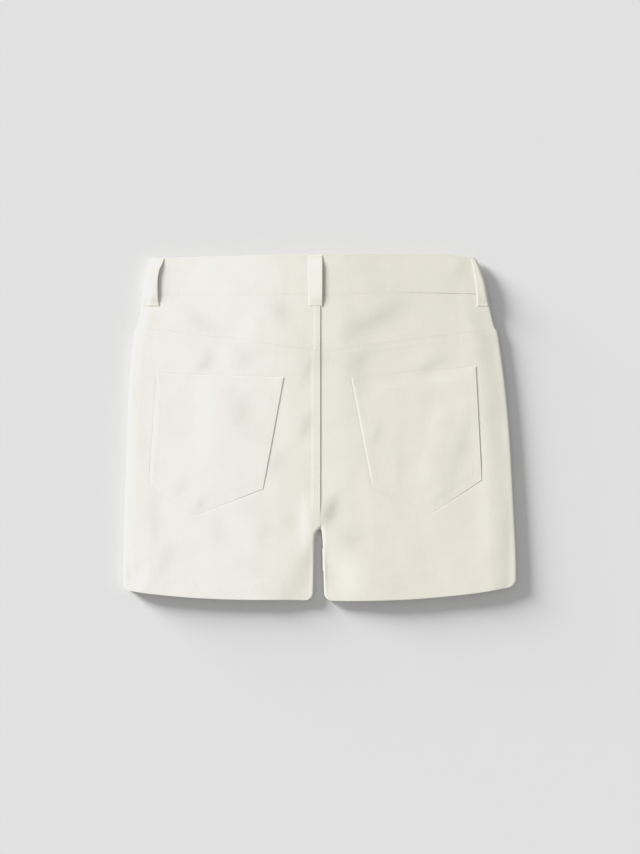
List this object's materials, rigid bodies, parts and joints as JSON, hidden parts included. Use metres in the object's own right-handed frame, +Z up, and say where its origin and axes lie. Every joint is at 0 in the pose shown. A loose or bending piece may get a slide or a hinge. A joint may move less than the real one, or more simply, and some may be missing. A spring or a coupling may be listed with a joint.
{
  "type": "twill shorts",
  "caption": "Child's twill shorts lying flat, back up: straight short legs, yoke, pointed patch pockets, belt loops and a buttoned waistband that holds them at the waist.",
  "frame": {"origin": "middle of the footprint, on the surface that the shorts lie on", "axes": "+Z up, out of the back of the shorts; +Y from the hems to the waistband; +X across, towards the wearer's right"},
  "size_m": [0.3613, 0.3204, 0.0117],
  "materials": {
    "ivory_twill": "matt cotton twill",
    "button_metal": "satin"
  },
  "bodies": {
    "root": {"back_left": "ivory_twill", "back_right": "ivory_twill", "yoke_left": "ivory_twill", "yoke_right": "ivory_twill", "back_pocket_left": "ivory_twill", "back_pocket_right": "ivory_twill", "front_left": "ivory_twill", "front_right": "ivory_twill", "waistband": "ivory_twill", "loop_back_center": "ivory_twill", "loop_back_left": "ivory_twill", "loop_back_right": "ivory_twill", "loop_front_left": "ivory_twill", "loop_front_right": "ivory_twill", "button": "button_metal"}
  },
  "joints": []
}
